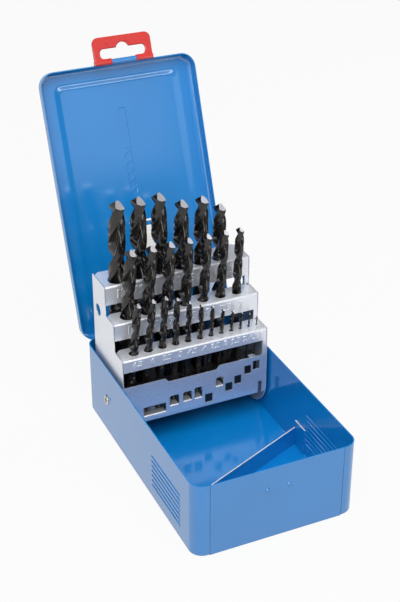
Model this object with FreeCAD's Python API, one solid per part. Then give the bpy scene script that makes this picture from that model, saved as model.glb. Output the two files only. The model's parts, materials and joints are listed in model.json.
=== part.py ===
import FreeCAD, Part
import math
import os
from collections import namedtuple

from FreeCAD import Vector

# Twist-drill case: a sheet-steel box with a hinged lid, a red hanger clip, and a three-step rack
# that stands up with the lid and folds flat into the box. Millimetres, +Z up, +X to the right and
# -Y towards the front. The origin is the centre of the box's underside.

# Box
sheet = 0.8
base_width = 123.0
base_depth = 203.0
base_height = 58.5
corner_radius = 10.0
floor_bend = 1.6
seam_inset = 11.3
seam_gap = 0.25
lap_length = 8.0
floor_flange = 7.0

# Pressed grip ribs in both side walls
grip_front = 24.0
grip_length = 48.3
grip_bottom = 11.5
grip_pitch = 4.15
grip_count = 7
rib_width = 2.6
rib_height = 0.5

# Latch bumps on the front panel
bump_height = 41.4
bump_pitch = 16.3
bump_radius = 1.5
bump_rise = 1.2

# Retainer plate across the floor
retainer_height = 15.2
retainer_flange = 15.0
retainer_flange_rise = 6.0
retainer_left = 35.0
retainer_right = 87.0

# Lid
lid_gap = 0.4
lid_overlap = 3.0
lid_depth = 9.4
lid_edge_radius = 4.0
lid_open_angle = 110.5
field_margin_free = 11.0
field_margin_side = 12.5
field_margin_hinge = 14.0
field_slope = 3.5
field_rise = 0.9
field_corner = 5.0
picture_offset = 0.7
picture_from_free_edge = 34.0
picture_width = 5.6
picture_shank = 31.0
picture_land = 6.2
picture_lands = 4
picture_gap = 1.3
picture_slant = 3.4
picture_depth = 0.45
label_width = 26.0
label_height = 24.0
label_from_free_edge = 122.0
label_offset = 5.5
label_thickness = 0.2

# Lid hinge
hinge_back = 1.1
hinge_length = 96.0
knuckle_count = 5
knuckle_radius = 1.9
knuckle_gap = 0.4
pin_radius = 1.0
pin_clearance = 0.05
pin_head = 0.5

# Hanger clip
clip_offset = 4.5
clip_width = 47.0
clip_reach = 18.7
clip_thickness = 2.6
clip_corner = 5.0
clip_edge_bevel = 0.7
clip_drop = 2.0
clip_front = 2.6
barrel_radius = 2.1
barrel_end_wall = 1.5
loop_width = 19.5
loop_side_gap = 0.2
slot_near = 2.5
slot_far = 9.8
slot_inset = 5.3
arch_width = 10.5
arch_far = 13.5
pocket_depth = 0.6
pocket_clearance = 0.4

# Rack
rack_side_gap = 2.1
pivot_height = 29.5
front_foot_angle = 9.63
rack_floor_gap = 0.3
step_fronts = (132.0, 148.0, 164.0)
step_heights = (78.0, 100.0, 123.0)
face_drops = (10.0, 13.5, 15.0)
shelf_bend = 1.4
leg_width = 3.0
rack_back = 188.4
rack_foot_corner = 8.0
sight_hole_radius = 4.75
sight_hole_from_back = 9.9
sight_hole_below_top = 25.5
end_gap = 0.3
end_tab_length = 6.0
end_tab_drop = 5.0
end_corner = 3.0
plate_end_angle = 17.0
plate_top = 55.0
plate_dip = 3.2
plate_dip_start = 36.5
plate_dip_end = 80.5
plate_dip_ramp = 2.8
notch_width = 3.2
notch_top = 32.0
middle_plate_top = 46.0
middle_plate_bottom = 12.0
rear_stop_height = 34.6
rear_stop_lip = 5.0
rear_stop_behind_row = 8.2
rear_stop_to_rivet = 0.3
tab_side_gap = 0.25
tab_bend = 1.2
tab_past_row = 1.0

# Rack pivot rivets
rivet_radius = 2.6
rivet_bore = 1.7
rivet_head_radius = 4.0
rivet_head_height = 0.9
rivet_head_bevel = 0.55
washer_radius = 4.6
washer_gap = 0.1
detent_behind_pivot = -8.0
detent_above_pivot = 5.5
detent_radius = 1.6
detent_rise = 0.9

# Drills
helix_angle = 30.0
point_angle = 118.0
flank_fall = 28.0
lip_direction = -24.0
margin_angle = 78.0
flute_angle = 110.0
section_shares = (0.93, 0.96, 0.985, 0.32)
shank_sides = 20
twist_step = 45.0
hole_clearance = 0.9
row_behind_face = 8.5
seat_gap = 0.05

# Rows, lower step first: the first hole's distance from the left wall, the last hole's from the
# right wall, and each drill's diameter, overall and flute lengths of the jobber series, the height
# that it stands on and its lean in degrees
rows = (
    (15.2, 8.25, (
        (6.5, 101.0, 63.0, 17.6, 6.0), (6.0, 93.0, 57.0, 26.4, 6.0), (5.5, 93.0, 57.0, 26.4, 4.3),
        (5.0, 86.0, 52.0, 30.2, 2.6), (4.5, 80.0, 47.0, 31.0, 2.4), (4.0, 75.0, 43.0, 31.0, 3.0),
        (3.5, 70.0, 39.0, 32.6, 3.6), (3.0, 61.0, 33.0, 37.0, 4.3), (2.5, 57.0, 30.0, 37.8, 4.3),
        (2.0, 49.0, 24.0, 42.4, 5.2), (1.5, 40.0, 18.0, 49.0, 4.1), (1.0, 34.0, 12.0, 51.6, 3.6))),
    (17.2, 17.6, (
        (10.0, 133.0, 87.0, 20.7, 4.6), (9.5, 125.0, 81.0, 28.7, 4.6), (9.0, 125.0, 81.0, 28.7, 3.4),
        (8.5, 117.0, 75.0, 36.7, 2.9), (8.0, 117.0, 75.0, 36.7, 3.7), (7.5, 109.0, 69.0, 44.7, 3.6),
        (7.0, 109.0, 69.0, 44.7, 2.6))),
    (16.2, 24.8, (
        (13.0, 151.0, 101.0, 34.6, 1.8), (12.5, 151.0, 101.0, 34.6, 0.6),
        (12.0, 151.0, 101.0, 34.6, -0.4), (11.5, 142.0, 94.0, 34.6, 1.3),
        (11.0, 142.0, 94.0, 34.6, 1.6), (10.5, 133.0, 87.0, 34.6, 0.7))),
)

# Windows lanced in the stop plates: the first and the last drill of the row over each, how far it
# reaches to the left of the first one's foot and to the right of the last one's, its height, and
# whether its tab is bent in at the bottom edge or at the top edge
front_windows = (
    (1, 2, 2.9, 2.7, 7.8, "bottom"), (3, 3, 6.6, 1.1, 8.6, "bottom"), (4, 4, 6.0, 1.3, 8.2, "bottom"),
    (5, 5, 5.8, 0.8, 9.5, "bottom"), (6, 6, 5.7, 0.6, 7.0, "top"), (7, 7, 5.1, 1.2, 7.8, "bottom"),
    (8, 8, 5.3, 0.8, 6.6, "top"), (9, 9, 5.0, 0.8, 7.0, "top"), (10, 10, 4.9, 0.8, 7.1, "top"),
    (11, 11, 4.8, 0.8, 7.2, "top"),
)
middle_windows = ((0, 0, 6.1, 6.1, 6.6, "bottom"), (1, 2, 5.8, 5.6, 6.6, "bottom"),
                  (3, 4, 5.4, 5.1, 6.6, "bottom"))
middle_ledge_count = 2
foot_margin = 1.1
window_corner = 1.8

# Places worked out from the sizes above
half_width = base_width / 2
half_depth = base_depth / 2
front = -half_depth
hinge_y = half_depth + hinge_back
hinge_z = base_height - lid_overlap
lid_top = hinge_z + lid_depth
lid_out = lid_gap + sheet
clip_y = front - clip_front
clip_z = hinge_z - clip_drop
swing_radius = pivot_height - sheet - rack_floor_gap
pivot_y = front + step_fronts[0] + swing_radius * math.cos(math.radians(front_foot_angle))
rack_half = half_width - sheet - rack_side_gap
rack_inner = rack_half - sheet
bump_offsets = (-bump_pitch / 2, bump_pitch / 2)
bore_radius = pin_radius + pin_clearance
hinge_half = hinge_length / 2 - pin_head - knuckle_gap
touching = 1e-6


def box(x0, x1, y0, y1, z0, z1):
    return Part.makeBox(x1 - x0, y1 - y0, z1 - z0, Vector(x0, y0, z0))


def cylinder_x(x0, x1, y, z, radius):
    return Part.makeCylinder(radius, x1 - x0, Vector(x0, y, z), Vector(1, 0, 0))


def mirrored(shape):
    return shape.mirror(Vector(0, 0, 0), Vector(1, 0, 0))


def joined(shapes):
    return shapes[0].multiFuse(shapes[1:]).removeSplitter()


def upright_edges(shape):
    return [edge for edge in shape.Edges
            if len(edge.Vertexes) == 2
            and abs(edge.Vertexes[0].X - edge.Vertexes[1].X) < touching
            and abs(edge.Vertexes[0].Y - edge.Vertexes[1].Y) < touching]


def edges_at_height(shape, z):
    return [edge for edge in shape.Edges
            if abs(edge.BoundBox.ZMin - z) < touching and abs(edge.BoundBox.ZMax - z) < touching]


def rounded_block(x0, x1, y0, y1, z0, z1, plan_radius, edge_radius, edge_z):
    """A block with round corners in plan and a round edge all along its face at edge_z."""
    block = box(x0, x1, y0, y1, z0, z1)
    block = block.makeFillet(plan_radius, upright_edges(block))
    return block.makeFillet(edge_radius, edges_at_height(block, edge_z))


def rounded_rectangle(x0, x1, y0, y1, z, radius):
    """A closed wire of four lines and four quarter arcs at height z."""
    corners = ((x1 - radius, y0 + radius, -90), (x1 - radius, y1 - radius, 0),
               (x0 + radius, y1 - radius, 90), (x0 + radius, y0 + radius, 180))
    arcs = [Part.makeCircle(radius, Vector(x, y, z), Vector(0, 0, 1), start, start + 90)
            for x, y, start in corners]
    outline = []
    for arc, following in zip(arcs, arcs[1:] + arcs[:1]):
        outline.append(arc)
        outline.append(Part.makeLine(arc.lastVertex().Point, following.firstVertex().Point))
    return Part.Wire(outline)


def side_profile(points, x0, x1):
    """Extrude a closed outline of (y, z) points, or (y, z, middle y, middle z) arcs, from x0 to x1."""
    edges = []
    for index, end in enumerate(points):
        start = points[index - 1]
        first = Vector(x0, start[0], start[1])
        last = Vector(x0, end[0], end[1])
        if len(end) == 4:
            edges.append(Part.Arc(first, Vector(x0, end[2], end[3]), last).toShape())
        else:
            edges.append(Part.makeLine(first, last))
    return Part.Face(Part.Wire(edges)).extrude(Vector(x1 - x0, 0, 0))


def opened(shape):
    """Turn a piece drawn on the closed lid to where it lies with the lid open."""
    return shape.rotated(Vector(0, hinge_y, hinge_z), Vector(1, 0, 0), -lid_open_angle)


def knuckle_spans(first):
    """The (x0, x1) spans of every second hinge knuckle, starting with number first."""
    pitch = 2 * hinge_half / knuckle_count
    starts = [-hinge_half + pitch * index for index in range(first, knuckle_count, 2)]
    return [(start, start + pitch) for start in starts]


def pin_head_spans():
    """The spans at both ends of the hinge that the pin's peened heads need."""
    return [(-hinge_length / 2, -hinge_half + knuckle_gap), (hinge_half - knuckle_gap, hinge_length / 2)]


def knuckle(x0, x1):
    ring = cylinder_x(x0 + knuckle_gap / 2, x1 - knuckle_gap / 2, hinge_y, hinge_z, knuckle_radius)
    return ring.cut(cylinder_x(x0, x1, hinge_y, hinge_z, bore_radius))


def tapered_rib(x0, x1, y0, y1, z, half):
    """A rib's block between two planes of x, its four sides leaning in by the rib's height."""
    rings = []
    for x, shrink in ((x0, 0), (x1, rib_height)):
        corners = [Vector(x, y0 + shrink, z - half + shrink), Vector(x, y1 - shrink, z - half + shrink),
                   Vector(x, y1 - shrink, z + half - shrink), Vector(x, y0 + shrink, z + half - shrink)]
        rings.append(Part.makePolygon(corners + corners[:1]))
    return Part.makeLoft(rings, True, True)


def grip_ribs():
    """The outer skins and the inner channels of the ribs pressed in the left wall."""
    y0 = front + grip_front
    y1 = y0 + grip_length
    heights = [grip_bottom + index * grip_pitch for index in range(grip_count)]
    half = rib_width / 2
    inset = sheet / 4
    skins = [tapered_rib(-half_width, -half_width - rib_height, y0, y1, z, half) for z in heights]
    channels = [tapered_rib(-half_width + sheet, -half_width + sheet - rib_height,
                            y0 + inset, y1 - inset, z, half - inset) for z in heights]
    return skins, channels


def base_tray():
    """Floor, side walls, rear wall and wrapped front corners, open at the front between the seams."""
    outer = rounded_block(-half_width, half_width, front, half_depth, 0, base_height,
                          corner_radius, floor_bend, 0)
    inner = rounded_block(-half_width + sheet, half_width - sheet, front + sheet, half_depth - sheet,
                          sheet, base_height + sheet, corner_radius - sheet, floor_bend - sheet, sheet)
    tray = outer.cut(inner)
    seam = half_width - seam_inset
    tray = tray.cut(box(-seam, seam, front - sheet, front + sheet, -sheet, base_height + sheet))
    lip = front + sheet
    added = [box(-seam, seam, lip, lip + floor_bend, 0, sheet),
             box(-seam + lap_length, seam - lap_length, lip, lip + sheet, 0, floor_flange)]
    lap = box(seam - lap_length, half_width - corner_radius, lip, lip + sheet,
              sheet, base_height - sheet)
    added += [lap, mirrored(lap)]
    skins, channels = grip_ribs()
    skins = skins + [mirrored(skin) for skin in skins]
    channels = channels + [mirrored(channel) for channel in channels]
    detent_y = pivot_y + detent_behind_pivot
    detent_z = pivot_height + detent_above_pivot
    detents = [Part.makeSphere(detent_radius,
                               Vector(side * (half_width - sheet - detent_rise + detent_radius),
                                      detent_y, detent_z))
               for side in (-1, 1)]
    inside_walls = box(-half_width + sheet / 2, half_width - sheet / 2, front, half_depth,
                       0, base_height)
    added += [detent.common(inside_walls) for detent in detents]
    tray = joined([tray] + added + skins)
    hollow = detent_radius - sheet / 2
    dimples = [Part.makeSphere(hollow, detent.BoundBox.Center) for detent in detents]
    rivet_holes = [cylinder_x(-half_width - sheet, half_width + sheet, pivot_y, pivot_height,
                              rivet_radius)]
    notches = []
    for x0, x1 in knuckle_spans(0):
        notches.append(box(x0, x1, half_depth - 2 * sheet, half_depth + sheet,
                           hinge_z, base_height + sheet))
    for x0, x1 in knuckle_spans(1) + pin_head_spans():
        notches.append(box(x0, x1, half_depth - 2 * sheet, half_depth + sheet,
                           hinge_z - knuckle_radius - knuckle_gap / 2, base_height + sheet))
    tray = tray.cut(channels + dimples + rivet_holes + notches)
    return joined([tray] + [knuckle(x0, x1) for x0, x1 in knuckle_spans(0)])


def base_front_panel():
    """The flat panel between the seams, with the two bumps that the clip snaps over."""
    seam = half_width - seam_inset - seam_gap
    panel = box(-seam, seam, front, front + sheet, 0, base_height)
    bottom = [edge for edge in edges_at_height(panel, 0) if abs(edge.BoundBox.YMax - front) < touching]
    panel = panel.makeChamfer(sheet / 2, bottom)
    crest = (bump_radius ** 2 + bump_rise ** 2) / (2 * bump_rise)
    behind = box(-half_width, half_width, front + sheet / 2, front + 3 * crest, 0, base_height)
    for x in bump_offsets:
        centre = Vector(x, front - bump_rise + crest, bump_height)
        panel = panel.fuse(Part.makeSphere(crest, centre).cut(behind))
    return panel.removeSplitter()


def drill_retainer_plate():
    """An upright strip across the floor, bent along both side walls where it is welded."""
    wall = half_width - sheet - sheet / 2
    left = Vector(-wall, front + retainer_left, sheet)
    right = Vector(wall, front + retainer_right, sheet)
    path = (left + Vector(0, retainer_flange, 0), left, right, right - Vector(0, retainer_flange, 0))
    heights = (retainer_height + retainer_flange_rise, retainer_height,
               retainer_height + retainer_flange_rise)
    pieces = []
    for start, end, height in zip(path, path[1:], heights):
        along = (end - start).normalize()
        across = Vector(-along.y, along.x, 0) * (sheet / 2)
        outline = Part.makePolygon([start - across, end - across, end + across, start + across,
                                    start - across])
        pieces.append(Part.Face(outline).extrude(Vector(0, 0, height)))
    for bend in path[1:3]:
        pieces.append(Part.makeCylinder(sheet / 2, retainer_height, bend))
    between_walls = box(sheet - half_width, half_width - sheet, front, half_depth, 0, base_height)
    between_bends = box(floor_bend - half_width, half_width - floor_bend, front, half_depth,
                        0, floor_bend)
    above_bends = box(-half_width, half_width, front, half_depth, floor_bend, base_height)
    strip = joined(pieces).common(between_walls)
    return joined([strip.common(between_bends), strip.common(above_bends)])


def hinge_pin():
    """The wire pin through every knuckle, peened over at both ends."""
    half = hinge_half - knuckle_gap / 2
    pin = cylinder_x(-half, half, hinge_y, hinge_z, pin_radius)
    heads = [cylinder_x(-half - pin_head, -half, hinge_y, hinge_z, knuckle_radius - pin_head),
             cylinder_x(half, half + pin_head, hinge_y, hinge_z, knuckle_radius - pin_head)]
    return joined([pin] + heads)


def field_block(bottom):
    """The low tapered block of the lid's raised field."""
    x = half_width + lid_out - field_margin_side
    y0 = front - lid_out + field_margin_free
    y1 = half_depth + lid_out - field_margin_hinge
    low = rounded_rectangle(-x, x, y0, y1, bottom, field_corner)
    high = rounded_rectangle(-x + field_slope, x - field_slope, y0 + field_slope, y1 - field_slope,
                             bottom + field_rise, field_corner)
    return Part.makeLoft([low, high], True, True)


def picture_panels():
    """The (x, distance from the free edge) corners of a twist drill's shank, lands and point."""
    left = picture_offset - picture_width / 2
    right = picture_offset + picture_width / 2
    start = picture_from_free_edge
    body = start + picture_shank + picture_gap
    panels = [((left, start), (right, start), (right, body - picture_gap), (left, body - picture_gap))]
    for index in range(picture_lands):
        near = body + index * (picture_land + picture_gap)
        far = near + picture_land
        panels.append(((left, near + picture_slant), (right, near), (right, far),
                       (left, far + picture_slant)))
    near = body + picture_lands * (picture_land + picture_gap)
    point = picture_width / 2 / math.tan(math.radians(point_angle / 2))
    corner = near + picture_slant
    panels.append(((left, corner), (right, near), (right, corner), (picture_offset, corner + point)))
    return panels


def picture_blocks(bottom):
    """Low tapered blocks over the picture's panels, drawn in by their own height at the top."""
    blocks = []
    for panel in picture_panels():
        corners = [Vector(x, front - lid_out + s, bottom) for x, s in panel]
        middle = sum(corners, Vector()) / len(corners)
        raised = [corner + (middle - corner).normalize() * picture_depth + Vector(0, 0, picture_depth)
                  for corner in corners]
        rings = [Part.makePolygon(ring + ring[:1]) for ring in (corners, raised)]
        blocks.append(Part.makeLoft(rings, True, True))
    return blocks


def lid_shell():
    """The shallow pressed lid, with its raised field, hinge knuckles and the clip's loop."""
    x = half_width + lid_out
    y0 = front - lid_out
    y1 = half_depth + lid_out
    outer = rounded_block(-x, x, y0, y1, hinge_z, lid_top, corner_radius + lid_out,
                          lid_edge_radius, lid_top)
    inner = rounded_block(-x + sheet, x - sheet, y0 + sheet, y1 - sheet, hinge_z - sheet,
                          lid_top - sheet, corner_radius + lid_gap, lid_edge_radius - sheet,
                          lid_top - sheet)
    lid = joined([outer, field_block(lid_top)] + picture_blocks(lid_top + field_rise))
    lid = lid.cut([inner, field_block(lid_top - sheet)]
                  + picture_blocks(lid_top - sheet + field_rise))
    clear = knuckle_radius + knuckle_gap / 2
    notches = [box(x0, x1, half_depth, y1 + sheet, hinge_z - sheet, hinge_z + clear)
               for x0, x1 in knuckle_spans(0) + pin_head_spans()]
    lid = lid.cut(notches)
    rings = [knuckle(x0, x1) for x0, x1 in knuckle_spans(1)]
    loop_x0 = clip_offset - loop_width / 2
    loop_x1 = clip_offset + loop_width / 2
    strap = box(loop_x0, loop_x1, y0, y0 + sheet, clip_z, hinge_z + sheet)
    curl = cylinder_x(loop_x0, loop_x1, clip_y, clip_z, knuckle_radius)
    lid = joined([lid, strap, curl] + rings)
    bores = [cylinder_x(x0, x1, hinge_y, hinge_z, bore_radius) for x0, x1 in knuckle_spans(1)]
    bores.append(cylinder_x(loop_x0, loop_x1, clip_y, clip_z, bore_radius))
    return opened(lid.cut(bores))


def lid_label():
    """A paper label glued inside the raised field."""
    y0 = front - lid_out + label_from_free_edge
    z1 = lid_top - sheet + field_rise
    return opened(box(label_offset - label_width / 2, label_offset + label_width / 2,
                      y0, y0 + label_height, z1 - label_thickness, z1))


def hanger_clip():
    """The moulded clip: two barrels, an arched hanging slot and pockets over the bumps."""
    x0 = clip_offset - clip_width / 2
    x1 = clip_offset + clip_width / 2
    low = clip_z - clip_thickness / 2
    high = clip_z + clip_thickness / 2
    plate = box(x0, x1, clip_y - clip_reach, clip_y, low, high)
    outer_corners = [edge for edge in upright_edges(plate)
                     if abs(edge.BoundBox.YMin - (clip_y - clip_reach)) < touching]
    plate = plate.makeFillet(clip_corner, outer_corners)
    slot = box(x0 + slot_inset, x1 - slot_inset, clip_y - slot_far, clip_y - slot_near,
               low - sheet, high + sheet)
    slot = slot.makeFillet((slot_far - slot_near) / 2 - clip_edge_bevel, upright_edges(slot))
    arch_y = clip_y - arch_far + arch_width / 2
    arch = Part.makeCylinder(arch_width / 2, high - low + 2 * sheet,
                             Vector(clip_offset, arch_y, low - sheet))
    throat = box(clip_offset - arch_width / 2, clip_offset + arch_width / 2, arch_y, clip_y,
                 low - sheet, high + sheet)
    plate = plate.cut([slot, arch, throat])
    rims = [edge for edge in edges_at_height(plate, low) + edges_at_height(plate, high)
            if edge.BoundBox.YMin < clip_y - touching]
    plate = plate.makeChamfer(clip_edge_bevel, rims)
    inner = loop_width / 2 + loop_side_gap
    plate = plate.cut(box(clip_offset - inner, clip_offset + inner, clip_y - slot_near, clip_y,
                          low - sheet, high + sheet))
    barrels = [cylinder_x(x0, clip_offset - inner, clip_y, clip_z, barrel_radius),
               cylinder_x(clip_offset + inner, x1, clip_y, clip_z, barrel_radius)]
    clip = joined([plate] + barrels)
    bore = cylinder_x(x0 + barrel_end_wall, x1 - barrel_end_wall, clip_y, clip_z, bore_radius)
    pockets = [Part.makeCylinder(bump_radius + pocket_clearance, pocket_depth,
                                 Vector(x, clip_y - (clip_z - bump_height), low))
               for x in bump_offsets]
    return opened(clip.cut([bore] + pockets))


def clip_pin():
    half = clip_width / 2 - barrel_end_wall
    return opened(cylinder_x(clip_offset - half, clip_offset + half, clip_y, clip_z, pin_radius))


def pivot_rivet():
    """The left tubular rivet: a round head outside the wall and a rolled rim inside the rack."""
    head = -half_width - rivet_head_height
    rim = -rack_inner + washer_gap
    outer = cylinder_x(head, -half_width, pivot_y, pivot_height, rivet_head_radius)
    outer = outer.makeChamfer(rivet_head_bevel, [edge for edge in outer.Edges
                                                 if abs(edge.BoundBox.XMax - head) < touching])
    shank = cylinder_x(-half_width, rim, pivot_y, pivot_height, rivet_radius)
    rolled = cylinder_x(rim, rim + sheet, pivot_y, pivot_height, rivet_head_radius)
    bore = cylinder_x(head, rim + sheet, pivot_y, pivot_height, rivet_bore)
    return joined([outer, shank, rolled]).cut(bore)


def pivot_washer():
    """The left spacer between the box wall and the rack's side."""
    x0 = -half_width + sheet
    x1 = -rack_half - washer_gap
    washer = cylinder_x(x0, x1, pivot_y, pivot_height, washer_radius)
    return washer.cut(cylinder_x(x0, x1, pivot_y, pivot_height, rivet_radius))


def swing_point(angle, radius):
    """The (y, z) place on the rack's underside at an angle below the pivot's front."""
    turn = math.radians(angle)
    return (pivot_y - radius * math.cos(turn), pivot_height - radius * math.sin(turn))


def rack_side():
    """The left side of the rack: a stepped plate, round below so that it swings clear of the floor."""
    start = front_foot_angle
    outline = [(front + rack_back, pivot_height - swing_radius),
               (front + rack_back, step_heights[2])]
    for step in (2, 1, 0):
        outline.append((front + step_fronts[step], step_heights[step]))
        if step:
            outline.append((front + step_fronts[step], step_heights[step - 1]))
    outline.append(swing_point(start, swing_radius))
    outline.append((pivot_y, pivot_height - swing_radius)
                   + swing_point((start + 90) / 2, swing_radius))
    plate = side_profile(outline, -rack_half, -rack_inner)
    heel = [edge for edge in edges_at_height(plate, pivot_height - swing_radius)
            if abs(edge.BoundBox.YMin - (front + rack_back)) < touching]
    plate = plate.makeFillet(rack_foot_corner, heel)
    holes = [cylinder_x(-rack_half, -rack_inner, pivot_y, pivot_height,
                        rivet_radius + pin_clearance),
             cylinder_x(-rack_half, -rack_inner, front + rack_back - sight_hole_from_back,
                        step_heights[2] - sight_hole_below_top, sight_hole_radius)]
    return plate.cut(holes)


Drill = namedtuple("Drill", "diameter length flute stop lean x")


def row_drills(row):
    """A row's drills, each with its hole's x: equal webs of metal are left between the holes."""
    first, last, drills = rows[row]
    steps = [(low[0] + high[0]) / 2 for low, high in zip(drills, drills[1:])]
    web = (base_width - first - last - sum(steps)) / len(steps)
    xs = [-half_width + first]
    for step in steps:
        xs.append(xs[-1] + step + web)
    return [Drill(*sizes, x) for sizes, x in zip(drills, xs)]


def row_y(row):
    return front + step_fronts[row] + row_behind_face


def rack_shelf(row):
    """A bent step: holed shelf, number face, a leg at the right and a tab down at each end."""
    y0 = front + step_fronts[row]
    z1 = step_heights[row]
    top_row = row == len(rows) - 1
    reach = front + (rack_back if top_row else step_fronts[row + 1] + sheet)
    end = rack_inner - end_gap
    bottom = z1 - face_drops[row]
    bend_z = z1 - shelf_bend
    bend_y = y0 + shelf_bend
    arc_middle = 1 - math.sqrt(0.5)
    mid = shelf_bend * arc_middle
    inner_mid = sheet + (shelf_bend - sheet) * arc_middle
    outline = [(reach, z1 - sheet), (reach, z1), (bend_y, z1),
               (y0, bend_z, y0 + mid, z1 - mid), (y0, bottom), (y0 + sheet, bottom),
               (y0 + sheet, bend_z),
               (bend_y, z1 - sheet, y0 + inner_mid, z1 - inner_mid)]
    shelf = side_profile(outline, -end, end)
    corners = [edge for edge in upright_edges(shelf) if abs(edge.BoundBox.YMax - reach) < touching]
    shelf = shelf.makeChamfer(end_corner, corners)
    foot = step_heights[row - 1] if row else plate_top
    parts = [shelf, box(end - leg_width, end, y0, y0 + sheet, foot, bottom + sheet)]
    tab_y = y0 + shelf_bend + sheet
    tab = box(-rack_inner, -rack_inner + sheet, tab_y, tab_y + end_tab_length,
              z1 - sheet - end_tab_drop, z1 - sheet)
    parts += [tab, mirrored(tab)]
    holes = [Part.makeCylinder((drill.diameter + hole_clearance) / 2, 2 * sheet,
                               Vector(drill.x, row_y(row), z1 - 1.5 * sheet))
             for drill in row_drills(row)]
    return joined(parts).cut(holes)


def x_at(drill, row, z):
    """The x of a leaning drill's centre line at height z."""
    return drill.x - math.tan(math.radians(drill.lean)) * (step_heights[row] - z)


def foot_place(row, index):
    """The height of a drill's stop and the x of its centre line there."""
    drill = row_drills(row)[index]
    return drill.stop, x_at(drill, row, drill.stop)


def bent_tab(x0, x1, plane, end, stop, hinge):
    """A tab that leaves an upright plate in a bend and lies level, its upper side at the stop."""
    away = -1 if hinge == "bottom" else 1
    outer = stop if hinge == "bottom" else stop - sheet
    inner = stop - sheet if hinge == "bottom" else stop
    centre_y = plane + tab_bend
    centre_z = outer + away * tab_bend
    outer_mid = tab_bend * math.sqrt(0.5)
    inner_mid = (tab_bend - sheet) * math.sqrt(0.5)
    outline = [(plane, centre_z),
               (centre_y, outer, centre_y - outer_mid, centre_z - away * outer_mid),
               (end, outer), (end, inner), (centre_y, inner),
               (plane + sheet, centre_z, centre_y - inner_mid, centre_z - away * inner_mid)]
    return side_profile(outline, x0, x1)


def lanced(plate, row, plane, windows, tab_end):
    """Cut a row's windows in an upright plate and bend each tab in, under its drills."""
    openings = []
    tabs = []
    for first, last, left, right, height, hinge in windows:
        stop, x0 = foot_place(row, first)
        x1 = foot_place(row, last)[1]
        x0 -= left
        x1 += right
        if hinge == "bottom":
            bottom, top = stop - tab_bend, stop + height
        else:
            bottom, top = stop - sheet - height, stop - sheet + tab_bend
        opening = box(x0, x1, plane - sheet, plane + 2 * sheet, bottom, top)
        if first == last and hinge == "bottom":
            corners = [edge for edge in opening.Edges
                       if edge.BoundBox.YLength > sheet and edge.BoundBox.ZMin > bottom]
            opening = opening.makeFillet(window_corner, corners)
        openings.append(opening)
        tabs.append(bent_tab(x0 + tab_side_gap, x1 - tab_side_gap, plane, tab_end, stop, hinge))
    return joined([plate.cut(openings)] + tabs)


def curved_strip(start, end, x0, x1):
    """A strip of the sheet that follows the rack's round underside between two angles."""
    middle = (start + end) / 2
    inner = swing_radius - sheet
    outline = [swing_point(start, inner), swing_point(start, swing_radius),
               swing_point(end, swing_radius) + swing_point(middle, swing_radius),
               swing_point(end, inner)]
    outline[0] = outline[0] + swing_point(middle, inner)
    return side_profile(outline, x0, x1)


def rack_front_stop_plate():
    """The lower front: a dipped top edge, a bent-back foot and a lanced tab under each thin drill."""
    y0 = front + step_fronts[0]
    bend = front_foot_angle
    end = rack_inner
    dip_bottom = plate_top - plate_dip
    dip_x0 = -half_width + plate_dip_start
    dip_x1 = -half_width + plate_dip_end
    outline = [(-end, plate_top), (dip_x0, plate_top), (dip_x0 + plate_dip_ramp, dip_bottom),
               (dip_x1 - plate_dip_ramp, dip_bottom), (dip_x1, plate_top), (end, plate_top),
               (end, swing_point(bend, swing_radius)[1]), (-end, swing_point(bend, swing_radius)[1])]
    corners = [Vector(x, y0, z) for x, z in outline]
    plate = Part.Face(Part.makePolygon(corners + corners[:1])).extrude(Vector(0, sheet, 0))
    stop, foot_x = foot_place(0, 0)
    foot_reach = row_drills(0)[0].diameter / 2 + foot_margin
    foot_x0 = max(-end, foot_x - foot_reach)
    foot_x1 = foot_x + foot_reach
    foot_angle = math.degrees(math.asin((pivot_height - stop + sheet / 2) / swing_radius))
    tab_end = row_y(0) + tab_past_row
    foot = box(foot_x0, foot_x1, swing_point(foot_angle, swing_radius)[0] + sheet / 2, tab_end,
               stop - sheet, stop)
    plate = joined([plate, curved_strip(bend, plate_end_angle, -end, end),
                    curved_strip(plate_end_angle, foot_angle, foot_x0, foot_x1), foot])
    notch = box(end - leg_width - notch_width, end - leg_width, y0 - sheet, pivot_y,
                pivot_height - swing_radius, notch_top)
    return lanced(plate.cut(notch), 0, y0, front_windows, tab_end)


def rack_middle_stop_plate():
    """The hidden plate below the middle step, with stepped tabs under its drills."""
    y0 = front + step_fronts[1]
    plate = box(-rack_inner, rack_inner, y0, y0 + sheet, middle_plate_bottom, middle_plate_top)
    tab_end = row_y(1) + tab_past_row
    stop, ledge_x = foot_place(1, -middle_ledge_count)
    ledge_x -= row_drills(1)[-middle_ledge_count].diameter / 2 + foot_margin
    ledge = box(ledge_x, rack_inner, y0, tab_end, stop - sheet, stop)
    plate = lanced(plate, 1, y0, middle_windows, tab_end)
    above = box(ledge_x, rack_inner, y0 - sheet, y0 + 2 * sheet, stop, middle_plate_top + sheet)
    return joined([plate.cut(above), ledge])


def rack_rear_stop_shelf():
    """The channel that the thick drills stand on, with a lip down along both long edges."""
    y0 = pivot_y + rivet_head_radius + rear_stop_to_rivet
    y1 = row_y(2) + rear_stop_behind_row
    top = rear_stop_height
    outer = box(-rack_inner, rack_inner, y0, y1, top - rear_stop_lip, top)
    inner = box(-rack_inner, rack_inner, y0 + sheet, y1 - sheet, top - rear_stop_lip, top - sheet)
    channel = outer.cut(inner)
    bends = [edge for edge in edges_at_height(channel, top)
             if abs(edge.BoundBox.YMax - edge.BoundBox.YMin) < touching]
    return channel.makeFillet(sheet, bends)


def flute_section(radius, turn):
    """Eight points round a two-flute section: heel, land, margin and flute floor, twice."""
    angles = (0, margin_angle / 2, margin_angle, flute_angle)
    points = []
    for half_turn in (0, 180):
        for angle, share in zip(angles, section_shares):
            at = math.radians(angle + half_turn + turn)
            points.append((radius * share * math.cos(at), radius * share * math.sin(at)))
    return points


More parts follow.
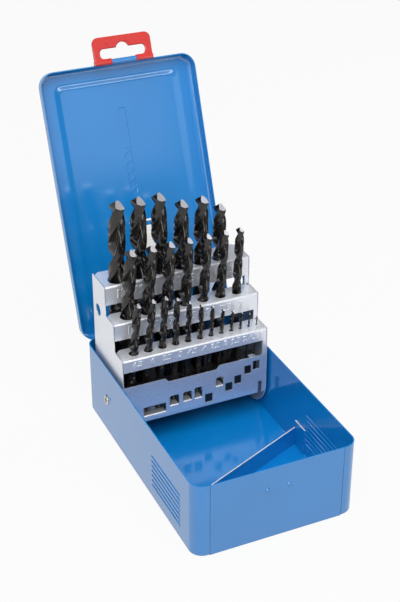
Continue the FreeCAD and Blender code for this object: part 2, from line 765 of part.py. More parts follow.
def faceted_solid(rings, split):
    """A closed solid through rings of points, its side panels split into triangles if they twist."""
    faces = [Part.Face(Part.makePolygon(ring + ring[:1])) for ring in (rings[0], rings[-1])]
    for low, high in zip(rings, rings[1:]):
        for index, corner in enumerate(low):
            following = (index + 1) % len(low)
            panel = [corner, low[following], high[following], high[index]]
            panels = [panel[:3], [panel[0], panel[2], panel[3]]] if split else [panel]
            faces += [Part.Face(Part.makePolygon(outline + outline[:1])) for outline in panels]
    return Part.makeSolid(Part.makeShell(faces))


def twisted_flutes(radius, bottom, top):
    """The fluted length, its section turned one step at a time so that the lips end up in line."""
    lead = 2 * math.pi * radius / math.tan(math.radians(helix_angle))
    steps = math.ceil((top - bottom) / (lead * twist_step / 360))
    rings = []
    for step in range(steps + 1):
        z = bottom + (top - bottom) * step / steps
        turn = lip_direction - margin_angle + 360 * (z - top) / lead
        rings.append([Vector(x, y, z) for x, y in flute_section(radius, turn)])
    return faceted_solid(rings, True)


def shank(radius, length):
    rings = []
    for z in (0, length):
        turns = [2 * math.pi * side / shank_sides for side in range(shank_sides)]
        rings.append([Vector(radius * math.cos(turn), radius * math.sin(turn), z) for turn in turns])
    return faceted_solid(rings, False)


def twist_drill(diameter, length, flute):
    """A drill standing on its shank at the origin, its point ground as two flanks that fall away."""
    radius = diameter / 2
    drill = joined([shank(radius, length - flute), twisted_flutes(radius, length - flute, length)])
    flanks = []
    for half_turn in (0, 180):
        waste = Part.makeBox(4 * diameter, 4 * diameter, diameter,
                             Vector(-2 * diameter, -2 * diameter, 0))
        waste.rotate(Vector(0, 0, 0), Vector(0, 1, 0), 90 - point_angle / 2)
        waste.rotate(Vector(0, 0, 0), Vector(1, 0, 0), flank_fall)
        waste.rotate(Vector(0, 0, 0), Vector(0, 0, 1), lip_direction + half_turn)
        waste.translate(Vector(0, 0, length))
        flanks.append(waste)
    return drill.cut(flanks)


def placed_drill(drill, row):
    """A drill in its hole, leaning about the row's axis and standing on its stop."""
    turn = math.radians(drill.lean)
    foot = drill.stop + drill.diameter / 2 * abs(math.sin(turn)) + seat_gap
    shape = twist_drill(drill.diameter, drill.length, drill.flute)
    shape.rotate(Vector(0, 0, 0), Vector(0, 1, 0), drill.lean)
    shape.translate(Vector(x_at(drill, row, foot), row_y(row), foot))
    return shape


def drill_name(diameter):
    return "drill_" + str(diameter).replace(".", "_")


def pieces():
    yield "base_tray", base_tray()
    yield "base_front_panel", base_front_panel()
    yield "drill_retainer_plate", drill_retainer_plate()
    yield "lid_hinge_pin", hinge_pin()
    yield "lid_shell", lid_shell()
    yield "lid_label", lid_label()
    yield "hanger_clip", hanger_clip()
    yield "clip_pin", clip_pin()
    for name, shape in (("pivot_rivet", pivot_rivet()), ("pivot_washer", pivot_washer()),
                        ("rack_side", rack_side())):
        yield name + "_left", shape
        yield name + "_right", mirrored(shape)
    for row, name in enumerate(("rack_lower_shelf", "rack_middle_shelf", "rack_upper_shelf")):
        yield name, rack_shelf(row)
    yield "rack_front_stop_plate", rack_front_stop_plate()
    yield "rack_middle_stop_plate", rack_middle_stop_plate()
    yield "rack_rear_stop_shelf", rack_rear_stop_shelf()
    for row in range(len(rows)):
        for drill in row_drills(row):
            yield drill_name(drill.diameter), placed_drill(drill, row)


os.makedirs("parts", exist_ok=True)
for name, shape in pieces():
    solids = shape.Solids
    print(name, len(solids), "solids", round(sum(solid.Volume for solid in solids), 1), "mm3",
          "valid" if shape.isValid() else "NOT VALID")
    if len(solids) == 1:
        shape = solids[0]
    shape.exportStep(os.path.join("parts", name + ".step"))
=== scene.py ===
import json
from math import atan2, ceil, cos, pi, radians, sin, tan

import bmesh
import bpy
from mathutils import Matrix, Vector


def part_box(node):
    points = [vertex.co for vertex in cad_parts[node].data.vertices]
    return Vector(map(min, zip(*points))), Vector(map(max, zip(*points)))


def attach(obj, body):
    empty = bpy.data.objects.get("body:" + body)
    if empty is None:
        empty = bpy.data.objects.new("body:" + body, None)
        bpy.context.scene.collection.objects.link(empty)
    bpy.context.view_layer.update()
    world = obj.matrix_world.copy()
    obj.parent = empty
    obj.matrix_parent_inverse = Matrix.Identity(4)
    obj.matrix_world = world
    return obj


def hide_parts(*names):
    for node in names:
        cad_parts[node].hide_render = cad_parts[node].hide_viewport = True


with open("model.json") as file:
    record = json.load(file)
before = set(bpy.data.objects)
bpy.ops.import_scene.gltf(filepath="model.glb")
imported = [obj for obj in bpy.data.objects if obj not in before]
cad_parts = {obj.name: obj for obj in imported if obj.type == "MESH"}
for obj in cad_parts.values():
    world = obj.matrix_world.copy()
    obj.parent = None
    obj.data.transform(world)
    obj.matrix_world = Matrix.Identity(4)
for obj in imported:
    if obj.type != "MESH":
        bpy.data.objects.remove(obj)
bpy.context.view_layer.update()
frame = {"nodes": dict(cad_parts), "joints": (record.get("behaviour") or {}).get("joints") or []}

# ---------------------------------------------------------------------------
# Box: one blank of 0.8 mm sheet steel, folded up and rounded at the corners,
# then sprayed with blue enamel. Its front panel is a second blank between the seams.

# Lengths are in metres, noise scales are in waves to the metre, and the colours of the
# object's finishes are screen colours, 0 to 255.
MM = 0.001
BLUE = (0, 119, 190)

# The curve between a screen colour and linear light
TOE_END = 0.04045
TOE_SLOPE = 12.92
CURVE_LIFT = 0.055
CURVE_POWER = 2.4

# The enamel's film: its drift of shade and gloss, its orange peel and the dust in it
DRIFT_SCALE = 14
DRIFT_DETAIL = 3
SHADE_DRIFT = 0.22
GLOSS_DRIFT = 0.12
NOISE_MIDDLE = 0.5
PEEL_SCALE = 420
PEEL_DETAIL = 2
PEEL_RELIEF = 0.1 * MM
DUST_SCALE = 2600
DUST_DETAIL = 2
DUST_SHARE = 0.15
PAINT_SPECULAR = 0.2
COAT_ROUGHNESS = 0.12
COAT_IOR = 2.0

# Edges and faces of the sheet
WELD_REACH = 0.002 * MM
FLAT_ANGLE = radians(0.5)
FOLD_ANGLE = radians(28)
SHEARED_EDGE = 0.12 * MM
EDGE_STEPS = 2


def colour(red, green, blue):
    """A screen colour as the linear colour that shaders take."""
    shares = [channel / 255 for channel in (red, green, blue)]
    return [share / TOE_SLOPE if share <= TOE_END
            else ((share + CURVE_LIFT) / (1 + CURVE_LIFT)) ** CURVE_POWER
            for share in shares] + [1.0]


def fed(tree, socket, term):
    """Set a socket to a plain value, or link another node's output to it."""
    if isinstance(term, bpy.types.NodeSocket):
        tree.links.new(term, socket)
    else:
        socket.default_value = term


def worked(tree, operation, *terms):
    """The output of a Math node whose terms are plain values or other nodes' outputs."""
    step = tree.nodes.new("ShaderNodeMath")
    step.operation = operation
    for socket, term in zip(step.inputs, terms):
        fed(tree, socket, term)
    return step.outputs[0]


def noise(tree, scale, detail):
    """The value of a noise that is fixed to the object."""
    place = tree.nodes.new("ShaderNodeTexCoord")
    texture = tree.nodes.new("ShaderNodeTexNoise")
    tree.links.new(place.outputs["Object"], texture.inputs["Vector"])
    fed(tree, texture.inputs["Scale"], scale)
    texture.inputs["Detail"].default_value = detail
    return texture.outputs["Fac"]


def raised(tree, height, strength, relief):
    """Let a height that changes over the surface tilt the normal of a material's shader."""
    bump = tree.nodes.new("ShaderNodeBump")
    bump.inputs["Strength"].default_value = strength
    bump.inputs["Distance"].default_value = relief
    tree.links.new(height, bump.inputs["Height"])
    tree.links.new(bump.outputs["Normal"], tree.nodes["Principled BSDF"].inputs["Normal"])


def new_finish(name):
    """A new material, its node tree and its shader."""
    material = bpy.data.materials.new(name)
    material.use_nodes = True
    return material, material.node_tree, material.node_tree.nodes["Principled BSDF"]


def paint_film_group():
    """Sprayed enamel's own unevenness: a slow drift of shade, orange peel and fine dust."""
    group = bpy.data.node_groups.new("paint_film", "ShaderNodeTree")
    for name, kind in (("Colour", "NodeSocketColor"), ("Drift", "NodeSocketFloat"),
                       ("Gloss", "NodeSocketFloat"), ("Peel Size", "NodeSocketFloat")):
        group.interface.new_socket(name, in_out="INPUT", socket_type=kind)
    for name, kind in (("Colour", "NodeSocketColor"), ("Roughness", "NodeSocketFloat"),
                       ("Height", "NodeSocketFloat")):
        group.interface.new_socket(name, in_out="OUTPUT", socket_type=kind)
    given = group.nodes.new("NodeGroupInput")
    result = group.nodes.new("NodeGroupOutput")
    drift = noise(group, DRIFT_SCALE, DRIFT_DETAIL)
    peel = noise(group, given.outputs["Peel Size"], PEEL_DETAIL)
    dust = noise(group, DUST_SCALE, DUST_DETAIL)
    centred = worked(group, "SUBTRACT", drift, NOISE_MIDDLE)
    shade = group.nodes.new("ShaderNodeHueSaturation")
    fed(group, shade.inputs["Value"],
        worked(group, "MULTIPLY_ADD", centred, given.outputs["Drift"], 1.0))
    fed(group, shade.inputs["Color"], given.outputs["Colour"])
    fed(group, result.inputs["Colour"], shade.outputs["Color"])
    fed(group, result.inputs["Roughness"],
        worked(group, "MULTIPLY_ADD", drift, GLOSS_DRIFT, given.outputs["Gloss"]))
    fed(group, result.inputs["Height"], worked(group, "MULTIPLY_ADD", dust, DUST_SHARE, peel))
    return group


paint_film = paint_film_group()


def enamel(name, tint, gloss, coat, peel_depth):
    """A sprayed enamel: the paint film group under a clear gloss."""
    material, tree, shader = new_finish(name)
    film = tree.nodes.new("ShaderNodeGroup")
    film.node_tree = paint_film
    film.inputs["Colour"].default_value = colour(*tint)
    film.inputs["Drift"].default_value = SHADE_DRIFT
    film.inputs["Gloss"].default_value = gloss
    film.inputs["Peel Size"].default_value = PEEL_SCALE
    tree.links.new(film.outputs["Colour"], shader.inputs["Base Color"])
    tree.links.new(film.outputs["Roughness"], shader.inputs["Roughness"])
    raised(tree, film.outputs["Height"], peel_depth, PEEL_RELIEF)
    shader.inputs["Coat Weight"].default_value = coat
    shader.inputs["Coat Roughness"].default_value = COAT_ROUGHNESS
    shader.inputs["Coat IOR"].default_value = COAT_IOR
    shader.inputs["Specular IOR Level"].default_value = PAINT_SPECULAR
    return material


def merged_copy(node):
    """A bmesh of a CAD node with its loose triangles merged."""
    form = bmesh.new()
    form.from_mesh(frame["nodes"][node].data)
    bmesh.ops.remove_doubles(form, verts=form.verts, dist=WELD_REACH)
    return form


def made_whole(form):
    """The same bmesh with the triangles of each flat face joined into one."""
    bmesh.ops.dissolve_limit(form, angle_limit=FLAT_ANGLE, verts=form.verts, edges=form.edges,
                             delimit={"NORMAL"})
    return form


def finished(form, name, body, materials, edge=SHEARED_EDGE):
    """Turn a bmesh into a piece with smooth bends and broken edges that rides on its body."""
    mesh = bpy.data.meshes.new(name)
    form.to_mesh(mesh)
    form.free()
    mesh.shade_smooth()
    mesh.set_sharp_from_angle(angle=FOLD_ANGLE)
    for material in materials:
        mesh.materials.append(material)
    piece = bpy.data.objects.new(name, mesh)
    bpy.context.scene.collection.objects.link(piece)
    if edge:
        broken = piece.modifiers.new("broken_edge", "BEVEL")
        broken.width = edge
        broken.segments = EDGE_STEPS
        broken.limit_method = "ANGLE"
        broken.angle_limit = FOLD_ANGLE
        flat = piece.modifiers.new("flat_faces", "WEIGHTED_NORMAL")
        flat.keep_sharp = True
    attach(piece, body)
    return piece


def dressed(node, name, body, materials, edge=SHEARED_EDGE, form=None):
    """A finished copy of a CAD node, or a form made for it, that stands for it."""
    frame["nodes"][node].data.materials.clear()
    frame["nodes"][node].data.materials.append(materials[0])
    if form is None:
        form = made_whole(merged_copy(node))
    piece = finished(form, name, body, materials, edge)
    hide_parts(node)
    return piece


blue_enamel = enamel("blue_enamel", BLUE, gloss=0.34, coat=0.8, peel_depth=0.10)
dressed("base_tray", "folded_box", "base", [blue_enamel])
dressed("base_front_panel", "front_panel", "base", [blue_enamel])

# ---------------------------------------------------------------------------
# Retainer: a strip of the same sheet bent along both walls and spot-welded upright on the
# floor. Its sheared top edge is bare steel, lightened to near-white as a painted highlight along
# it.

# Near-white edge colour: bare steel lightened as a painted highlight on the top edge
PALE_EDGE_HIGHLIGHT = (246, 242, 234)
RETAINER_EDGE = 0.08 * MM

# Faces that look up, this far above the strip's foot, are the bare edge with its painted highlight
BARE_AND_HIGHLIT_FROM = 13 * MM
FACES_UP = 0.9

# The grain in a metal's shade, gloss and relief
GRAIN_DETAIL = 4
GRAIN_SHADE = 0.7
GRAIN_GLOSS = 0.15
GRAIN_RELIEF = 0.05 * MM


def metal(name, tint, roughness, grain_size, grain_depth, metallic=1.0):
    """Bare or plated steel, or a metallic paint, with a fine grain in its polish."""
    material, tree, shader = new_finish(name)
    shader.inputs["Metallic"].default_value = metallic
    grain = noise(tree, grain_size, GRAIN_DETAIL)
    bright = colour(*tint)
    shades = tree.nodes.new("ShaderNodeValToRGB")
    shades.color_ramp.elements[0].color = [GRAIN_SHADE * part for part in bright[:3]] + [1.0]
    shades.color_ramp.elements[1].color = bright
    tree.links.new(grain, shades.inputs["Fac"])
    tree.links.new(shades.outputs["Color"], shader.inputs["Base Color"])
    polish = worked(tree, "MULTIPLY_ADD", grain, GRAIN_GLOSS, roughness)
    tree.links.new(polish, shader.inputs["Roughness"])
    raised(tree, grain, grain_depth, GRAIN_RELIEF)
    return material


# The top edge's material: pale, barely metallic steel that paints the edge's highlight on the faces
# that look up
bare_edge_and_highlight = metal("bare_edge_and_highlight", PALE_EDGE_HIGHLIGHT, roughness=0.35, grain_size=900, grain_depth=0.05,
                  metallic=0.2)
retainer = made_whole(merged_copy("drill_retainer_plate"))
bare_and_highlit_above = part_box("drill_retainer_plate")[0].z + BARE_AND_HIGHLIT_FROM
for face in retainer.faces:
    if face.normal.z > FACES_UP and face.calc_center_median().z > bare_and_highlit_above:
        face.material_index = 1
dressed("drill_retainer_plate", "retainer_strip", "base",
        [blue_enamel, bare_edge_and_highlight], RETAINER_EDGE, retainer)

# ---------------------------------------------------------------------------
# Hinge pin and clip pin: straight lengths of plated steel wire, cut to length and pushed
# through the curled knuckles. The hinge pin's ends show, and are peened over.

PLATING = (214, 208, 196)
PEENED_EDGE = 0.15 * MM

plated_steel = metal("plated_steel", PLATING, roughness=0.28, grain_size=700, grain_depth=0.06)
dressed("lid_hinge_pin", "hinge_wire", "base", [plated_steel], PEENED_EDGE)
dressed("clip_pin", "clip_wire", "lid", [plated_steel], PEENED_EDGE)

# ---------------------------------------------------------------------------
# Pivot rivets and washers: tubular rivets of plated steel, rolled over inside the rack, each
# with a washer between the box wall and the rack.

ROLLED_EDGE = 0.2 * MM
WASHER_EDGE = 0.1 * MM

for side in ("left", "right"):
    dressed("pivot_rivet_" + side, "tube_rivet_" + side, "base",
            [plated_steel], ROLLED_EDGE)
    dressed("pivot_washer_" + side, "rivet_washer_" + side, "base",
            [plated_steel], WASHER_EDGE)

# ---------------------------------------------------------------------------
# Lid: a shallow pressing of the same sheet, with a raised field and a small drill pressed into
# it. Knuckles are curled along its rear edge, and a strap round the clip's pin.

PRESSED_EDGE = 0.22 * MM

# The field's creases: how far they bend, and how wide and in how many steps they are rounded
CREASE_LEAST = radians(10.1)
CREASE_MOST = radians(17)
CREASE_BAND = 1.2 * MM
CREASE_STEPS = 4

# A bend shorter than the first and nearer the lid's middle than the second is the motif's
STRAIGHT_LEAST = 20 * MM
MOTIF_REACH = 30 * MM


def is_crease(edge):
    """True for the gentle bends round the raised field, not for those of the pressed motif."""
    if len(edge.link_faces) != 2 or not CREASE_LEAST < edge.calc_face_angle() < CREASE_MOST:
        return False
    return edge.calc_length() > STRAIGHT_LEAST or abs(edge.verts[0].co.x) > MOTIF_REACH


lid_form = merged_copy("lid_shell")
creases = [edge for edge in lid_form.edges if is_crease(edge)]
bmesh.ops.bevel(lid_form, geom=creases, offset=CREASE_BAND, offset_type="OFFSET",
                segments=CREASE_STEPS, profile=0.5, affect="EDGES", material=-1)
dressed("lid_shell", "pressed_lid", "lid", [blue_enamel], PRESSED_EDGE,
        made_whole(lid_form))

# ---------------------------------------------------------------------------
# Label: a sheet of white paper, printed with a blue header band and the faint rules of a
# table, and glued inside the lid.

PAPER = (240, 238, 232)
INK = (20, 110, 180)
PAPER_ROUGHNESS = 0.5
FIBRE_SCALE = 1800
FIBRE_DETAIL = 4
FIBRE_DEPTH = 0.15
FIBRE_RELIEF = 0.05 * MM

# The label leans with the open lid; its print is placed down from its top edge
LABEL_LEAN = radians(20.5)
HEADER_BELOW_EDGE = 1.6 * MM
HEADER_HEIGHT = 3.3 * MM
RULE_PITCH = 2.4 * MM
RULE_HEIGHT = 0.25 * MM
RULE_INK = 0.35


def printed_label():
    """White paper with a blue header band and pale table rules under it."""
    material, tree, shader = new_finish("printed_label")
    shader.inputs["Roughness"].default_value = PAPER_ROUGHNESS
    place = tree.nodes.new("ShaderNodeTexCoord")
    axes = tree.nodes.new("ShaderNodeSeparateXYZ")
    tree.links.new(place.outputs["Object"], axes.inputs[0])
    upright = cos(LABEL_LEAN)
    fall = worked(tree, "SUBTRACT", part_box("lid_label")[1].z, axes.outputs["Z"])
    header = worked(tree, "COMPARE", fall, (HEADER_BELOW_EDGE + HEADER_HEIGHT / 2) * upright,
                    HEADER_HEIGHT / 2 * upright)
    from_rule = worked(tree, "PINGPONG", fall, RULE_PITCH / 2 * upright)
    rule = worked(tree, "LESS_THAN", from_rule, RULE_HEIGHT / 2)
    ink = worked(tree, "MAXIMUM", header, worked(tree, "MULTIPLY", rule, RULE_INK))
    printed = tree.nodes.new("ShaderNodeMix")
    printed.data_type = "RGBA"
    printed.inputs["A"].default_value = colour(*PAPER)
    printed.inputs["B"].default_value = colour(*INK)
    tree.links.new(ink, printed.inputs["Factor"])
    tree.links.new(printed.outputs["Result"], shader.inputs["Base Color"])
    raised(tree, noise(tree, FIBRE_SCALE, FIBRE_DETAIL), FIBRE_DEPTH, FIBRE_RELIEF)
    return material


dressed("lid_label", "lid_label_sheet", "lid", [printed_label()], edge=0)

# ---------------------------------------------------------------------------
# Clip: an injection moulding in red plastic that turns on the clip pin; it latches over the
# front panel's bumps and hangs the case by its slot.

RED = (196, 30, 22)
MOULDED_EDGE = 0.25 * MM

red_plastic = enamel("red_plastic", RED, gloss=0.32, coat=0.5, peel_depth=0.05)
dressed("hanger_clip", "moulded_clip", "clip", [red_plastic], MOULDED_EDGE)

# ---------------------------------------------------------------------------
# Rack: three bent steps and three stop plates of 0.8 mm sheet, tabbed and welded between two
# stepped sides, and sprayed a pale metallic grey. The front stop plate takes a more metallic,
# darker copy of the grey as painted shade, and the two inner stops take dark steel as painted
# shade for the dark inside of the rack.

GREY = (244, 247, 253)
# Dark steel: painted shade on the two inner stops, for the dark inside of the rack
PAINTED_SHADE_STEEL = (92, 84, 78)

grey_enamel = metal("grey_enamel", GREY, roughness=0.24, grain_size=900, grain_depth=0.02,
                    metallic=0.62)
# The front stop plate: a more metallic copy of the grey enamel, darker and bluer as painted shade
shaded_plate_enamel = metal("shaded_plate_enamel", GREY, roughness=0.24, grain_size=900, grain_depth=0.02,
                     metallic=0.76)
# The two inner stops take dark steel as painted shade
painted_shade_steel = metal("painted_shade_steel", PAINTED_SHADE_STEEL, roughness=0.45, grain_size=500, grain_depth=0.05)
for part, finish in (("side_left", grey_enamel), ("side_right", grey_enamel),
                     ("lower_shelf", grey_enamel), ("middle_shelf", grey_enamel),
                     ("upper_shelf", grey_enamel), ("front_stop_plate", shaded_plate_enamel),
                     ("middle_stop_plate", painted_shade_steel), ("rear_stop_shelf", painted_shade_steel)):
    dressed("rack_" + part, "sheet_" + part, "rack", [finish])

# ---------------------------------------------------------------------------
# Size numbers: each step's face is stamped from behind with the sizes of the drills above it,
# so the figures stand up from the painted face.

# The figures' heights, and how far below each step's top their middles are
NUMBER_HEIGHTS = {"lower": 4.2 * MM, "middle": 5.6 * MM, "upper": 6.4 * MM}
NUMBER_DROPS = {"lower": 5.0 * MM, "middle": 6.8 * MM, "upper": 7.5 * MM}

# Font size and growth of the strokes for a figure of height 1, and how the figures stand up
FONT_SIZE = 1.4
STROKE_GROWTH = 0.02
NUMBER_BASE = 0.05 * MM
NUMBER_RISE = 0.35 * MM
NUMBER_ROUNDING = 2

# A drill belongs to the step whose face is this far before it
ROW_BEHIND_FACE = 8.5 * MM
ROW_REACH = 2 * MM


def drill_size(node):
    """A drill's diameter in metres, read from its node's name: drill_6_5 is 6.5 mm."""
    return float(node[len("drill_"):].replace("_", ".")) * MM


def drill_foot(node, lean):
    """The centre of a drill's shank end; lean is its angle from upright towards +X."""
    low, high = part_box(node)
    radius = drill_size(node) / 2
    if lean >= 0:
        x = low.x + radius * cos(lean)
    else:
        x = high.x - radius * cos(lean)
    return Vector((x, (low.y + high.y) / 2, low.z + radius * abs(sin(lean))))


drills = []
for joint in frame["joints"]:
    if joint["child"].startswith("drill_"):
        lean = atan2(joint["axis"][0], joint["axis"][2])
        foot = drill_foot(joint["child"], lean)
        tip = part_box(joint["child"])[1].z
        drills.append((joint["child"], lean, foot, (tip - foot.z) / cos(lean)))


def stamped(text, height):
    """A bmesh of rounded figures that stand up from a face, centred, facing -Y."""
    curve = bpy.data.curves.new("stamp", "FONT")
    curve.body = text
    curve.size = height * FONT_SIZE
    curve.align_x = "CENTER"
    curve.align_y = "CENTER"
    curve.offset = height * STROKE_GROWTH
    curve.extrude = NUMBER_BASE
    curve.bevel_depth = NUMBER_RISE
    curve.bevel_resolution = NUMBER_ROUNDING
    holder = bpy.data.objects.new("stamp", curve)
    mesh = bpy.data.meshes.new_from_object(holder)
    form = bmesh.new()
    form.from_mesh(mesh)
    bpy.data.objects.remove(holder)
    bpy.data.curves.remove(curve)
    bpy.data.meshes.remove(mesh)
    bmesh.ops.rotate(form, verts=form.verts, matrix=Matrix.Rotation(pi / 2, 3, "X"))
    return form


for step in ("lower", "middle", "upper"):
    low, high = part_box("rack_" + step + "_shelf")
    stamps = bmesh.new()
    for node, lean, foot, length in drills:
        if abs(foot.y - low.y - ROW_BEHIND_FACE) > ROW_REACH:
            continue
        figures = stamped("%g" % (drill_size(node) / MM), NUMBER_HEIGHTS[step])
        x = foot.x + (high.z - foot.z) * tan(lean)
        z = high.z - NUMBER_DROPS[step]
        bmesh.ops.translate(figures, verts=figures.verts, vec=(x, low.y, z))
        placed = bpy.data.meshes.new("stamp")
        figures.to_mesh(placed)
        figures.free()
        stamps.from_mesh(placed)
        bpy.data.meshes.remove(placed)
    finished(stamps, "stamped_sizes_" + step, "rack", [grey_enamel], edge=0)

# ---------------------------------------------------------------------------
# Drills: 25 twist drills of black-oxide high-speed steel, ground bright at the point. Each is
# one section swept along a helix, run out into its shank and cut by two flanks.

OXIDE_BLACK = (14, 14, 14)
OXIDE_BROWN = (46, 42, 38)
OXIDE_SCALE = 120
OXIDE_DETAIL = 2
BLACK_UP_TO = 0.35
BROWN_FROM = 0.75
OXIDE_ROUGHNESS = 0.14
GROUND = (205, 205, 212)

# The drill's helix, its point, and the shank that its flutes run out into
HELIX = radians(30)
POINT_ANGLE = radians(118)
FLANK_FALL = radians(28)
LIP_DIRECTION = radians(-24)
MARGIN_ANGLE = radians(78)
TURN_STEP = radians(12)
SHANK_AT_ZERO = 21 * MM
SHANK_PER_DIAMETER = 2.4
RUN_OUT_PER_DIAMETER = 0.9
CUT_REACH = 0.0005 * MM
RIM_REACH = 0.001 * MM

# Half of the section, round from the lip: degrees, and the share of the radius there
HALF_SECTION = ((0, 0.95), (10, 0.97), (40, 0.97), (68, 0.97), (70, 1.0), (78, 1.0),
                (80, 0.8), (86, 0.5), (98, 0.3), (116, 0.19), (135, 0.19), (150, 0.33),
                (162, 0.56), (172, 0.78))


def oxide(name):
    """Black oxide on ground steel: smooth and dark, with a slightly brown cloud in it."""
    material, tree, shader = new_finish(name)
    shades = tree.nodes.new("ShaderNodeValToRGB")
    shades.color_ramp.elements[0].color = colour(*OXIDE_BLACK)
    shades.color_ramp.elements[0].position = BLACK_UP_TO
    shades.color_ramp.elements[1].color = colour(*OXIDE_BROWN)
    shades.color_ramp.elements[1].position = BROWN_FROM
    tree.links.new(noise(tree, OXIDE_SCALE, OXIDE_DETAIL), shades.inputs["Fac"])
    tree.links.new(shades.outputs["Color"], shader.inputs["Base Color"])
    shader.inputs["Roughness"].default_value = OXIDE_ROUGHNESS
    return material


def swept_section(radius, shank, flute):
    """The drill's section swept up a helix from the shank, to end with its lips in place."""
    lead = 2 * pi * radius / tan(HELIX)
    turn = 2 * pi * flute / lead
    steps = ceil(turn / TURN_STEP)
    form = bmesh.new()
    start = LIP_DIRECTION - MARGIN_ANGLE - turn
    ring = []
    for half in (0, pi):
        for angle, share in HALF_SECTION:
            at = start + half + radians(angle)
            ring.append(form.verts.new((radius * share * cos(at), radius * share * sin(at), shank)))
    edges = [form.edges.new(pair) for pair in zip(ring, ring[1:] + ring[:1])]
    bmesh.ops.spin(form, geom=ring + edges, cent=(0, 0, 0), axis=(0, 0, 1),
                   dvec=(0, 0, flute / steps), angle=turn, steps=steps, use_merge=False,
                   use_normal_flip=False, use_duplicate=False)
    return form


def run_out(form, radius, shank):
    """Let the flutes grow shallow towards the shank, till the section is round."""
    reach = RUN_OUT_PER_DIAMETER * 2 * radius
    for vert in form.verts:
        fade = max(0, 1 - (vert.co.z - shank) / reach)
        share = Vector((vert.co.x, vert.co.y)).length / radius
        grown = share + (1 - share) * fade ** 2
        vert.co.x *= grown / share
        vert.co.y *= grown / share


def close_ends(form, shank):
    """Draw the lower rim down as the plain shank, and close the shank and the top."""
    rim = [edge for edge in form.edges if edge.is_boundary
           and all(abs(vert.co.z - shank) < RIM_REACH for vert in edge.verts)]
    for item in bmesh.ops.extrude_edge_only(form, edges=rim)["geom"]:
        if isinstance(item, bmesh.types.BMVert):
            item.co.z = 0
    open_edges = [edge for edge in form.edges if edge.is_boundary]
    lower = [edge for edge in open_edges if edge.verts[0].co.z < shank / 2]
    upper = [edge for edge in open_edges if edge.verts[0].co.z > shank / 2]
    for end in (lower, upper):
        bmesh.ops.triangle_fill(form, edges=end, use_beauty=True)


def grind_point(form, length):
    """Cut the point's two flanks, which take the second material."""
    for half in (0, pi):
        normal = Vector((tan(pi / 2 - POINT_ANGLE / 2), -tan(FLANK_FALL), 1)).normalized()
        normal.rotate(Matrix.Rotation(LIP_DIRECTION + half, 3, "Z"))
        geometry = form.verts[:] + form.edges[:] + form.faces[:]
        cut = bmesh.ops.bisect_plane(form, geom=geometry, dist=CUT_REACH,
                                     plane_co=(0, 0, length), plane_no=normal,
                                     clear_outer=True)
        rim = [item for item in cut["geom_cut"] if isinstance(item, bmesh.types.BMEdge)]
        filled = bmesh.ops.triangle_fill(form, edges=rim, use_beauty=True, normal=normal)
        for item in filled["geom"]:
            if isinstance(item, bmesh.types.BMFace):
                item.material_index = 1


def twist_drill(diameter, length):
    """A drill standing on its shank at the origin; its flanks are material 1."""
    radius = diameter / 2
    shank = SHANK_AT_ZERO + SHANK_PER_DIAMETER * diameter
    form = swept_section(radius, shank, length - shank)
    run_out(form, radius, shank)
    close_ends(form, shank)
    grind_point(form, length)
    bmesh.ops.remove_doubles(form, verts=form.verts, dist=CUT_REACH)
    bmesh.ops.recalc_face_normals(form, faces=form.faces)
    return form


black_oxide = oxide("black_oxide")
ground_steel = metal("ground_steel", GROUND, roughness=0.30, grain_size=1500, grain_depth=0.10)
for node, lean, foot, length in drills:
    form = twist_drill(drill_size(node), length)
    bmesh.ops.rotate(form, verts=form.verts, matrix=Matrix.Rotation(lean, 3, "Y"))
    bmesh.ops.translate(form, verts=form.verts, vec=foot)
    dressed(node, "twist_" + node, node, [black_oxide, ground_steel],
            edge=0, form=form)

# ---------------------------------------------------------------------------
# Studio: a pale round floor under a graded grey surround, soft boxes above, before and at the
# left, and low strips that draw the highlights along the sheet and the drills.

FLOOR_GREY = (0.45, 0.45, 0.45, 1)
FLOOR_ROUGHNESS = 0.9
FLOOR_WHITE = 0.93
FLOOR_RADIUS = 12.0
FLOOR_SIDES = 96
FLOOR_DROP = 0.1 * MM
SKY_LOW = (0.14, 0.14, 0.14, 1)
SKY_HIGH = (0.6, 0.6, 0.62, 1)
SKY_START = 0.3


def seen_white(tree, lit, share):
    """Mix a lit shader with a share of plain white where it is seen, directly or mirrored."""
    path = tree.nodes.new("ShaderNodeLightPath")
    seen = worked(tree, "MAXIMUM", path.outputs["Is Camera Ray"], path.outputs["Is Glossy Ray"])
    seen = worked(tree, "MAXIMUM", seen, path.outputs["Is Transmission Ray"])
    white = tree.nodes.new("ShaderNodeEmission")
    white.inputs["Color"].default_value = (1, 1, 1, 1)
    white.inputs["Strength"].default_value = 1.0
    mix = tree.nodes.new("ShaderNodeMixShader")
    tree.links.new(worked(tree, "MULTIPLY", seen, share), mix.inputs["Fac"])
    tree.links.new(lit.outputs[0], mix.inputs[1])
    tree.links.new(white.outputs[0], mix.inputs[2])
    return mix


floor_form = bmesh.new()
bmesh.ops.create_circle(floor_form, cap_ends=True, segments=FLOOR_SIDES, radius=FLOOR_RADIUS)
floor_mesh = bpy.data.meshes.new("studio_floor")
floor_form.to_mesh(floor_mesh)
floor_form.free()
floor_mesh.transform(Matrix.Translation((0, 0, -FLOOR_DROP)))
floor = bpy.data.objects.new("studio_floor", floor_mesh)
bpy.context.scene.collection.objects.link(floor)
floor_paper, floor_tree, floor_shader = new_finish("floor_paper")
floor_shader.inputs["Base Color"].default_value = FLOOR_GREY
floor_shader.inputs["Roughness"].default_value = FLOOR_ROUGHNESS
floor_mix = seen_white(floor_tree, floor_shader, FLOOR_WHITE)
floor_out = floor_tree.nodes["Material Output"]
floor_tree.links.new(floor_mix.outputs[0], floor_out.inputs["Surface"])
floor_mesh.materials.append(floor_paper)

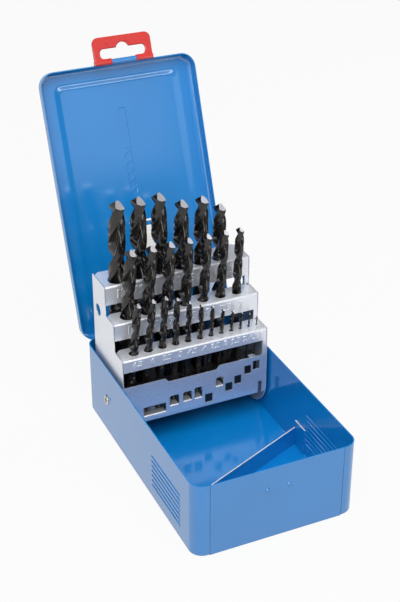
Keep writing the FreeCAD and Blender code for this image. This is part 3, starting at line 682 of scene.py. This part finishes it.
world = bpy.data.worlds.new("studio")
bpy.context.scene.world = world
world.use_nodes = True
sky_tree = world.node_tree
sky_place = sky_tree.nodes.new("ShaderNodeTexCoord")
sky_axes = sky_tree.nodes.new("ShaderNodeSeparateXYZ")
sky_shades = sky_tree.nodes.new("ShaderNodeValToRGB")
sky_shades.color_ramp.elements[0].color = SKY_LOW
sky_shades.color_ramp.elements[0].position = SKY_START
sky_shades.color_ramp.elements[1].color = SKY_HIGH
sky_tree.links.new(sky_place.outputs["Generated"], sky_axes.inputs[0])
sky_tree.links.new(sky_axes.outputs["Z"], sky_shades.inputs["Fac"])
sky_tree.links.new(sky_shades.outputs["Color"], sky_tree.nodes["Background"].inputs["Color"])


def lamp(name, place, aim, width, height, power):
    """A soft rectangular lamp at place, turned towards aim."""
    light = bpy.data.lights.new(name, "AREA")
    light.shape = "RECTANGLE"
    light.size = width
    light.size_y = height
    light.energy = power
    holder = bpy.data.objects.new(name, light)
    holder.location = place
    holder.rotation_euler = (Vector(aim) - Vector(place)).to_track_quat("-Z", "Y").to_euler()
    bpy.context.scene.collection.objects.link(holder)


lamp("soft_box", place=(-0.3, -0.6, 1.4), aim=(0, 0, 0.1), width=1.2, height=1.2, power=21.5)
lamp("front_box", place=(0.2, -1.2, 0.975), aim=(0, 0, 0.1), width=0.9, height=0.95, power=1.9)
lamp("front_strip", place=(0.45, -1.25, 0.25), aim=(0, 0.15, 0.2), width=1.2, height=0.10,
     power=2.2)
lamp("left_box", place=(-1.0, -1.0, 1.0), aim=(0, 0, 0.1), width=0.9, height=0.9, power=4)
lamp("left_strip", place=(-1.25, -0.33, 0.3), aim=(0, 0.1, 0.15), width=0.2, height=0.8,
     power=2.4)
lamp("right_strip", place=(1.2, 0.25, 0.4), aim=(0, 0.05, 0.12), width=0.25, height=1.0, power=6)

# ---------------------------------------------------------------------------
# Camera: at the front left, about a metre away and thirty degrees up, as one looks down
# into the open case on a bench.

FRAME_HEIGHT = 602
FOCAL_PIXELS = 1281.6
SENSOR_SIZE = 36
CAMERA_TURN = radians(24.501)
CAMERA_RISE = radians(29.917)
CAMERA_DISTANCE = 890.857 * MM
CAMERA_AIM = Vector((-8.671, 5.45, 130.408)) * MM

camera = bpy.data.cameras.new("camera")
camera.sensor_width = SENSOR_SIZE
camera.lens = FOCAL_PIXELS / FRAME_HEIGHT * SENSOR_SIZE
camera_holder = bpy.data.objects.new("camera", camera)
out = Vector((-sin(CAMERA_TURN) * cos(CAMERA_RISE), -cos(CAMERA_TURN) * cos(CAMERA_RISE),
              sin(CAMERA_RISE)))
camera_holder.location = CAMERA_AIM + out * CAMERA_DISTANCE
camera_holder.rotation_euler = (-out).to_track_quat("-Z", "Y").to_euler()
bpy.context.scene.collection.objects.link(camera_holder)
bpy.context.scene.camera = camera_holder
bpy.context.scene.view_settings.view_transform = "Standard"
